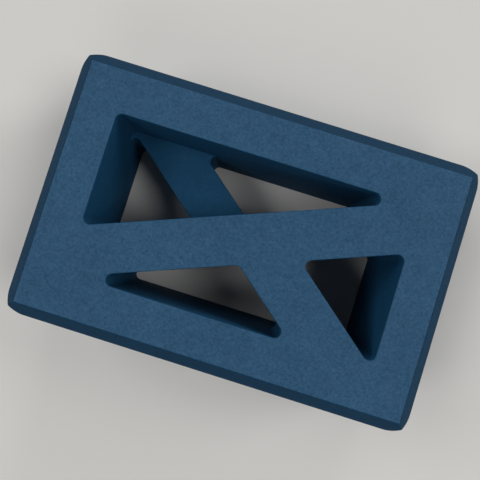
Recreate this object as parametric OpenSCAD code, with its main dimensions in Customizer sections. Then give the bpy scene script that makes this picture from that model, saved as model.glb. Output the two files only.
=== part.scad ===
// A one-piece foam yoga block, lying on its largest face. The block is an open frame: a long
// strut of full height runs slantwise across its window, and a second, crossing strut is made
// of two half-height arms. One arm is level with the bottom face and the other with the top
// face, so the block looks and grips the same whichever way up it lies.
// The origin is at the centre of the bottom face, with +X along the length and +Z up.

/* [Block] */
// Length of the block
block_l = 228; // [200:1:260]
// Width of the block
block_w = 150; // [130:1:180]
// Height of the block lying flat
block_h = 76; // [50:1:110]

/* [Outer edges] */
// Radius of the four upright edges
upright_edge_r = 12; // [3:0.5:16]
// Width of the bevel round the top and bottom faces, the same across and down
bevel = 7; // [2:0.5:12]

/* [Window] */
// Width of the rail along each short side
end_rail = 29; // [24:0.5:36]
// Width of the rail along each long side
side_rail = 30; // [24:0.5:34]
// Radius of the upright corners inside the openings
inner_corner_r = 3.5; // [1:0.25:5]

/* [Struts] */
// Width of the long strut
long_strut_w = 27; // [20:0.5:30]
// Distance from a corner of the window to where the long strut's edge meets the long side rail
long_strut_gap = 6.3; // [2:0.1:12]
// Width of each half-height arm of the crossing strut
arm_w = 28.5; // [22:0.5:32]
// Distance from the middle of the block to the middle line of each arm
arm_offset = 4.75; // [2:0.25:8]
// Height of each arm, as a share of the height of the block
arm_share = 0.5; // [0.35:0.05:0.6]

/* [Hidden] */
$fn = 64;

foam_colour = [0.204, 0.325, 0.424];
cut_past = 1;                         // how far a cutter runs past the face that it opens
cross_by = 0.002;                     // how far a corner's circle reaches over its two sides
window_x = block_l / 2 - end_rail;    // half the length of the window
window_y = block_w / 2 - side_rail;   // half the width of the window
arm_h = block_h * arm_share;

// The long strut's edge meets the long side of the window just short of its corner, and the
// outer edge of each arm starts right in a corner. These two points set the struts' slants.
strut_edge = long_strut_w / 2;
strut_end = [window_x - long_strut_gap, window_y];
strut_turn = slant_of(strut_end) - asin(strut_edge / norm(strut_end));
arm_end = [window_x, -window_y];
arm_outer = arm_w / 2 + arm_offset;
arm_inner = arm_w / 2 - arm_offset;
arm_turn = slant_of(arm_end) - asin(arm_outer / norm(arm_end));

// Angle of the line from the origin to a point
function slant_of(point) = atan2(point.y, point.x);

function unit(v) = v / norm(v);

// Where the line at distance `offset` to the left of a line through the origin at angle `turn`
// crosses a second such line
function crossing(turn_a, offset_a, turn_b, offset_b) =
    let (na = [-sin(turn_a), cos(turn_a)])
    let (nb = [-sin(turn_b), cos(turn_b)])
    let (det = na.x * nb.y - na.y * nb.x)
    [(offset_a * nb.y - offset_b * na.y) / det, (offset_b * na.x - offset_a * nb.x) / det];

// Everything to the left of a line at angle `turn`, `offset` away from the middle of the block
module left_of(turn, offset)
    rotate([0, 0, turn]) translate([-block_l, offset]) square([2 * block_l, block_l]);

// The directions from corner number `i` of an outline to the corner before it and the one after
function sides_at(corners, i) =
    let (n = len(corners))
    [for (next = [i + n - 1, i + 1]) unit(corners[next % n] - corners[i])];

// Half the angle between two such directions
function half_angle(sides) = acos(sides[0] * sides[1]) / 2;

// Rounds the corners of the convex outline passed to it, which are listed anticlockwise. The
// corners are cut straight across, and a circle fills each of them out again to a true arc.
module round_off(corners, r) {
    intersection() {
        children();
        union() {
            polygon([
                for (i = [0 : len(corners) - 1])
                    let (sides = sides_at(corners, i))
                    let (run = r / tan(half_angle(sides)))
                    for (this = [0, 1])
                        corners[i] + sides[this] * run + unit(sides[this] - sides[1 - this]) * cut_past
            ]);
            for (i = [0 : len(corners) - 1]) {
                sides = sides_at(corners, i);
                translate(corners[i] + unit(sides[0] + sides[1]) * r / sin(half_angle(sides)))
                    circle(r + cross_by);
            }
        }
    }
}

// A bar along X whose section is the width and height of the block with its long edges bevelled
module bevelled_bar(length, width) {
    rotate([90, 0, 90])
        linear_extrude(length, center = true)
            polygon([
                [-width / 2, bevel], [-width / 2 + bevel, 0],
                [width / 2 - bevel, 0], [width / 2, bevel],
                [width / 2, block_h - bevel], [width / 2 - bevel, block_h],
                [-width / 2 + bevel, block_h], [-width / 2, block_h - bevel]
            ]);
}

// The block before anything is cut out: rounded upright edges, and bevels that meet in mitres
module outer_form() {
    half = [block_l, block_w] / 2;
    intersection() {
        linear_extrude(block_h)
            round_off([[-half.x, -half.y], [half.x, -half.y], half, [-half.x, half.y]],
                      upright_edge_r)
                square(2 * half, center = true);
        bevelled_bar(block_l + 2 * cut_past, block_w);
        rotate([0, 0, 90]) bevelled_bar(block_w + 2 * cut_past, block_l);
    }
}

// The window to one side of the long strut, before its corners are rounded
module window_half()
    intersection() {
        square(2 * [window_x, window_y], center = true);
        left_of(strut_turn, strut_edge);
    }

// What is taken out on one side of the long strut. Above the arm the whole triangle is open,
// and level with the arm only the two smaller triangles beside it go on through the block.
module openings_over_arm() {
    window_corner = [-window_x, window_y];
    strut_at_end = crossing(90, window_x, strut_turn, strut_edge);
    strut_at_side = crossing(0, window_y, strut_turn, strut_edge);
    arm_tip = crossing(arm_turn, -arm_outer, strut_turn, strut_edge);
    arm_root = crossing(arm_turn, arm_inner, strut_turn, strut_edge);
    arm_at_side = crossing(arm_turn, arm_inner, 0, window_y);
    translate([0, 0, arm_h])
        linear_extrude(block_h - arm_h + cut_past)
            round_off([window_corner, strut_at_end, strut_at_side], inner_corner_r)
                window_half();
    translate([0, 0, -cut_past])
        linear_extrude(block_h + 2 * cut_past) {
            round_off([window_corner, strut_at_end, arm_tip], inner_corner_r)
                intersection() {
                    window_half();
                    left_of(arm_turn + 180, arm_outer);
                }
            round_off([arm_at_side, arm_root, strut_at_side], inner_corner_r)
                intersection() {
                    window_half();
                    left_of(arm_turn, arm_inner);
                }
        }
}

module block() {
    color(foam_colour)
        difference() {
            outer_form();
            openings_over_arm();
            // The same on the other side of the long strut, turned end for end and upside down
            translate([0, 0, block_h]) rotate([0, 0, 180]) mirror([0, 0, 1]) openings_over_arm();
        }
}

block();
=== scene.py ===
"""The look of a one-piece foam yoga block: eased edges, closed-cell foam and soft studio light."""
from math import cos, pi, radians, sin

import bmesh
import bpy
from mathutils import Euler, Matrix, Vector


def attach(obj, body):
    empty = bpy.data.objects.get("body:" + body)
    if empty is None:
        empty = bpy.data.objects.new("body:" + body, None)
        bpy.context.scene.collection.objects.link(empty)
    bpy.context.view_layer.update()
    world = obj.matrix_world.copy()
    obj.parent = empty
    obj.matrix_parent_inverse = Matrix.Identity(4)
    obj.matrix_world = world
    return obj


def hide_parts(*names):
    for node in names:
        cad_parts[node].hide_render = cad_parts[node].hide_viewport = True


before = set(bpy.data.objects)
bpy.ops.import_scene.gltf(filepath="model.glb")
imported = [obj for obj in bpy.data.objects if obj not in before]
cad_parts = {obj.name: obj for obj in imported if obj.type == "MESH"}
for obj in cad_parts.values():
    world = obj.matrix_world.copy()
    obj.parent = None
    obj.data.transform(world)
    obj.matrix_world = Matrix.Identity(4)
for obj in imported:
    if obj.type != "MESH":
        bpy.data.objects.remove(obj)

# The camera looks down on the block from above its middle, turned a little about each axis.
CAMERA_PLACE = (0.0016, -0.0073, 0.331)
CAMERA_TILT_DEG = (1.98, 0.25, 17.4)
SENSOR = 36.0
LENS = 36.0
IMAGE_SIDE = 480
SHIFT_DOWN_PX = 3

# Edges, in metres and degrees
EASE = 0.0006              # width of the soft rounding on every outward edge
EASE_STEPS = 3
ROUND = 0.5                # the bevel profile that is a circle's arc
MATERIAL_BESIDE = -1       # an eased strip takes the material of the face beside it
SHARP_DEG = 20             # edges flatter than this are steps along an arc, and aren't eased
CREASE_DEG = 35            # edges sharper than this after the easing keep their crease
FLAT_DEG = 1               # faces that meet at less than this are joined
WELD = 1e-6
LARGE_FACES_FIRST = 100    # the shading follows the large faces, and turns within the eased strips

# Foam, in linear colour and metres
FACE, WALL, BEVEL = 0, 1, 2                 # the material of each kind of surface
BEVEL_UPRIGHT = (0.2, 0.95)                 # between which a bevel's normal points up or down
FOAM = (0.0072, 0.0515, 0.112)
FOAMS = {                  # the bevels' colour, at 0.58 of the foam's, is painted shade for the dimmer light they get; the faces shine most, the bevels least
    "foam_face": {"painted_shade_factor": 1.0, "contrast": 1.0, "rough": (0.66, 0.86), "shine": 0.37, "relief": 0.6},
    "foam_wall": {"painted_shade_factor": 1.0, "contrast": 0.6, "rough": (0.60, 0.76), "shine": 0.1, "relief": 0.2},
    # The bevels' factor of 0.58 darkens their colour: painted shade, not a different foam.
    "foam_bevel_painted_shade": {"painted_shade_factor": 0.58, "contrast": 0.6, "rough": (0.50, 0.66), "shine": 0.06, "relief": 0.2},
}
VEIL = 0.07                # the white light that a surface of full shine adds over its colour
MOTTLING = ((0.028, 0.05), (0.006, 0.055), (0.0018, 0.08))   # grain and its contrast, largest first
CELL = 0.0009              # width of a foam cell
CELL_CONTRAST = 0.12
RELIEF = 0.00012           # how far the cells stand out
RELIEF_GRAIN = 0.0014      # over this length some cells stand out more and others less
ROUGH_GRAIN = 0.0012
GRAIN_DETAIL = 3
MIDDLE = 0.5               # the middle value of noise and of the cells' random tones
NOISE_REACH = 0.2          # how far noise mostly strays from it
CELL_REACH = 0.5

# Floor and backdrop
FLOOR = (0.59, 0.58, 0.56)
FLOOR_ROUGH = 0.8
FLOOR_SHINE = 0.2
FLOOR_SIDE = 12.0
BACKDROP = 0.68
WHITE = (1, 1, 1, 1)

# Light: the shares and the ambient light add up to 1, at which a level surface renders in its
# own colour. The azimuth turns from +X to +Y.
LAMPS = {
    "right": {"azimuth": 0, "elevation": 55, "spread": 24, "share": 0.24},
    "left": {"azimuth": 210, "elevation": 53, "spread": 24, "share": 0.22},
    "left_back": {"azimuth": 165, "elevation": 42, "spread": 34, "share": 0.18},
    "right_back": {"azimuth": 30, "elevation": 30, "spread": 24, "share": 0.14},
    "back": {"azimuth": 90, "elevation": 18, "spread": 24, "share": 0.09},
    "front": {"azimuth": 285, "elevation": 42, "spread": 30, "share": 0.09},
}
AMBIENT = 0.04


# --- nodes ---------------------------------------------------------------------------------

def new_material(name):
    """A material, its node tree and the tree's shader."""
    material = bpy.data.materials.new(name)
    material.use_nodes = True
    return material, material.node_tree, material.node_tree.nodes["Principled BSDF"]


def noise(tree, place, grain):
    """Noise whose features are about `grain` metres across."""
    node = tree.nodes.new("ShaderNodeTexNoise")
    node.inputs["Scale"].default_value = 1 / grain
    node.inputs["Detail"].default_value = GRAIN_DETAIL
    tree.links.new(place, node.inputs["Vector"])
    return node.outputs["Fac"]


def cells(tree, place):
    """Foam cells: a random value for each, and the distance from its middle."""
    node = tree.nodes.new("ShaderNodeTexVoronoi")
    node.inputs["Scale"].default_value = 1 / CELL
    tree.links.new(place, node.inputs["Vector"])
    split = tree.nodes.new("ShaderNodeSeparateColor")
    tree.links.new(node.outputs["Color"], split.inputs["Color"])
    return split.outputs["Red"], node.outputs["Distance"]


def spread_over(tree, value, reach, low, high):
    """`value`, which strays by `reach` from its middle, stretched to run from low to high."""
    node = tree.nodes.new("ShaderNodeMapRange")
    node.inputs["From Min"].default_value = MIDDLE - reach
    node.inputs["From Max"].default_value = MIDDLE + reach
    node.inputs["To Min"].default_value = low
    node.inputs["To Max"].default_value = high
    tree.links.new(value, node.inputs["Value"])
    return node.outputs["Result"]


def joined(tree, operation, a, b):
    """The sum or product of two values."""
    node = tree.nodes.new("ShaderNodeMath")
    node.operation = operation
    tree.links.new(a, node.inputs[0])
    tree.links.new(b, node.inputs[1])
    return node.outputs["Value"]


# --- foam ----------------------------------------------------------------------------------

def foam_shade(tree, place, cell_tone, contrast):
    """How pale the foam is at each point: a random lightness for each cell, and mottling at several
    scales.
    """
    reach = CELL_CONTRAST * contrast
    shade = spread_over(tree, cell_tone, CELL_REACH, 1 - reach, 1 + reach)
    for grain, share in MOTTLING:
        reach = share * contrast
        mottle = spread_over(tree, noise(tree, place, grain), NOISE_REACH, 1 - reach, 1 + reach)
        shade = joined(tree, "MULTIPLY", shade, mottle)
    return shade


def foam_colour(tree, shade, painted_shade_factor, shine):
    """The foam's colour times its shade, so that the shade scales the veil over it too. A factor below 1
    darkens the colour as painted shade, as on the bevels.
    """
    veil = VEIL * shine
    node = tree.nodes.new("ShaderNodeVectorMath")
    node.operation = "MULTIPLY_ADD"
    tree.links.new(shade, node.inputs[0])
    node.inputs[1].default_value = [channel * painted_shade_factor + veil for channel in FOAM]
    node.inputs[2].default_value = [-veil] * len(FOAM)
    return node.outputs["Vector"]


def foam_relief(tree, place, cell_dome, relief):
    """The normals of cells that stand out a little, some more than others."""
    node = tree.nodes.new("ShaderNodeBump")
    node.inputs["Strength"].default_value = relief
    node.inputs["Distance"].default_value = RELIEF
    height = joined(tree, "MULTIPLY", cell_dome, noise(tree, place, RELIEF_GRAIN))
    tree.links.new(height, node.inputs["Height"])
    return node.outputs["Normal"]


def foam_material(name, painted_shade_factor, contrast, rough, shine, relief):
    """Closed-cell foam, whose colour, roughness and relief vary with the place on the block."""
    material, tree, shader = new_material(name)
    place = tree.nodes.new("ShaderNodeTexCoord").outputs["Object"]
    cell_tone, cell_dome = cells(tree, place)
    shade = foam_shade(tree, place, cell_tone, contrast)
    colour = foam_colour(tree, shade, painted_shade_factor, shine)
    roughness = spread_over(tree, noise(tree, place, ROUGH_GRAIN), NOISE_REACH, *rough)
    normal = foam_relief(tree, place, cell_dome, relief)
    tree.links.new(colour, shader.inputs["Base Color"])
    tree.links.new(roughness, shader.inputs["Roughness"])
    tree.links.new(normal, shader.inputs["Normal"])
    shader.inputs["Specular IOR Level"].default_value = shine
    return material


# --- the block -----------------------------------------------------------------------------

def mark_faces(form):
    """Gives the top and bottom faces, the bevels, and the walls and arms a material each."""
    low = min(vertex.co.z for vertex in form.verts)
    high = max(vertex.co.z for vertex in form.verts)
    for face in form.faces:
        heights = [vertex.co.z for vertex in face.verts]
        if max(heights) < low + WELD or min(heights) > high - WELD:
            face.material_index = FACE
        # the bevels get the material whose colour is darkened as painted shade
        elif BEVEL_UPRIGHT[0] < abs(face.normal.z) < BEVEL_UPRIGHT[1]:
            face.material_index = BEVEL
        else:
            face.material_index = WALL


def solid_in_whole_faces():
    """A copy of the CAD solid with its triangles joined to whole faces, marked by material."""
    form = bmesh.new()
    form.from_mesh(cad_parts["block"].data)
    bmesh.ops.remove_doubles(form, verts=form.verts, dist=WELD)
    bmesh.ops.dissolve_limit(
        form, angle_limit=radians(FLAT_DEG), verts=form.verts, edges=form.edges,
    )
    mark_faces(form)
    return form


def ease_edges(form):
    """Rounds the outward edges a little, and leaves no doubled points."""
    outward = [
        edge for edge in form.edges
        if edge.is_manifold and edge.calc_face_angle_signed() > radians(SHARP_DEG)
    ]
    bmesh.ops.bevel(
        form, geom=outward, offset=EASE, offset_type="OFFSET", segments=EASE_STEPS,
        profile=ROUND, affect="EDGES", clamp_overlap=False, loop_slide=False,
        material=MATERIAL_BESIDE,
    )
    bmesh.ops.remove_doubles(form, verts=form.verts, dist=WELD)
    bmesh.ops.dissolve_degenerate(form, edges=form.edges, dist=WELD)


def shade_between_creases(form):
    """Smooth shading everywhere but across the sharp inward edges."""
    for edge in form.edges:
        edge.smooth = not edge.is_manifold or edge.calc_face_angle() < radians(CREASE_DEG)
    for face in form.faces:
        face.smooth = True


def eased_block():
    """The CAD solid with its outward edges eased, as a mesh of its own in the foam's materials."""
    form = solid_in_whole_faces()
    ease_edges(form)
    shade_between_creases(form)
    mesh = bpy.data.meshes.new("foam_block")
    form.to_mesh(mesh)
    form.free()
    for name, look in FOAMS.items():
        mesh.materials.append(foam_material(name, **look))
    block = bpy.data.objects.new("foam_block", mesh)
    bpy.context.scene.collection.objects.link(block)
    normals = block.modifiers.new("large_faces_first", "WEIGHTED_NORMAL")
    normals.keep_sharp = True
    normals.weight = LARGE_FACES_FIRST
    return block


# --- studio --------------------------------------------------------------------------------

def floor_material():
    material, tree, shader = new_material("floor")
    shader.inputs["Base Color"].default_value = (*FLOOR, 1)
    shader.inputs["Roughness"].default_value = FLOOR_ROUGH
    shader.inputs["Specular IOR Level"].default_value = FLOOR_SHINE
    return material


def add_floor():
    bpy.ops.mesh.primitive_plane_add(size=FLOOR_SIDE)
    floor = bpy.context.object
    floor.name = "floor"
    floor.data.materials.append(floor_material())


def add_lamp(name, azimuth, elevation, spread, share):
    """A far, wide lamp that gives a level surface its share of the light."""
    az, el = radians(azimuth), radians(elevation)
    towards_lamp = Vector((cos(az) * cos(el), sin(az) * cos(el), sin(el)))
    data = bpy.data.lights.new(name, "SUN")
    data.angle = radians(spread)
    data.energy = pi * share / sin(el)
    lamp = bpy.data.objects.new(name, data)
    lamp.rotation_euler = towards_lamp.to_track_quat("Z", "Y").to_euler()
    bpy.context.scene.collection.objects.link(lamp)


def add_world():
    """Dim even light from all round, and a pale backdrop where it is seen or reflected."""
    world = bpy.data.worlds.new("studio")
    bpy.context.scene.world = world
    world.use_nodes = True
    tree = world.node_tree
    light = tree.nodes["Background"]
    backdrop = tree.nodes.new("ShaderNodeBackground")
    for node, strength in ((light, AMBIENT), (backdrop, BACKDROP)):
        node.inputs["Color"].default_value = WHITE
        node.inputs["Strength"].default_value = strength
    path = tree.nodes.new("ShaderNodeLightPath")
    shown = path.outputs["Is Camera Ray"]
    for ray in ("Is Glossy Ray", "Is Transmission Ray"):
        shown = joined(tree, "ADD", shown, path.outputs[ray])
    mix = tree.nodes.new("ShaderNodeMixShader")
    tree.links.new(shown, mix.inputs["Fac"])
    tree.links.new(light.outputs["Background"], mix.inputs[1])
    tree.links.new(backdrop.outputs["Background"], mix.inputs[2])
    tree.links.new(mix.outputs["Shader"], tree.nodes["World Output"].inputs["Surface"])


def add_camera():
    data = bpy.data.cameras.new("camera")
    data.sensor_width = SENSOR
    data.lens = LENS
    data.shift_y = -SHIFT_DOWN_PX / IMAGE_SIDE
    camera = bpy.data.objects.new("camera", data)
    camera.location = CAMERA_PLACE
    camera.rotation_euler = Euler([radians(angle) for angle in CAMERA_TILT_DEG])
    bpy.context.scene.collection.objects.link(camera)
    bpy.context.scene.camera = camera


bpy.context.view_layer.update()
block = eased_block()
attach(block, "root")
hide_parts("block")
add_floor()
for name, lamp in LAMPS.items():
    add_lamp(name, **lamp)
add_world()
add_camera()
bpy.context.scene.view_settings.view_transform = "Standard"
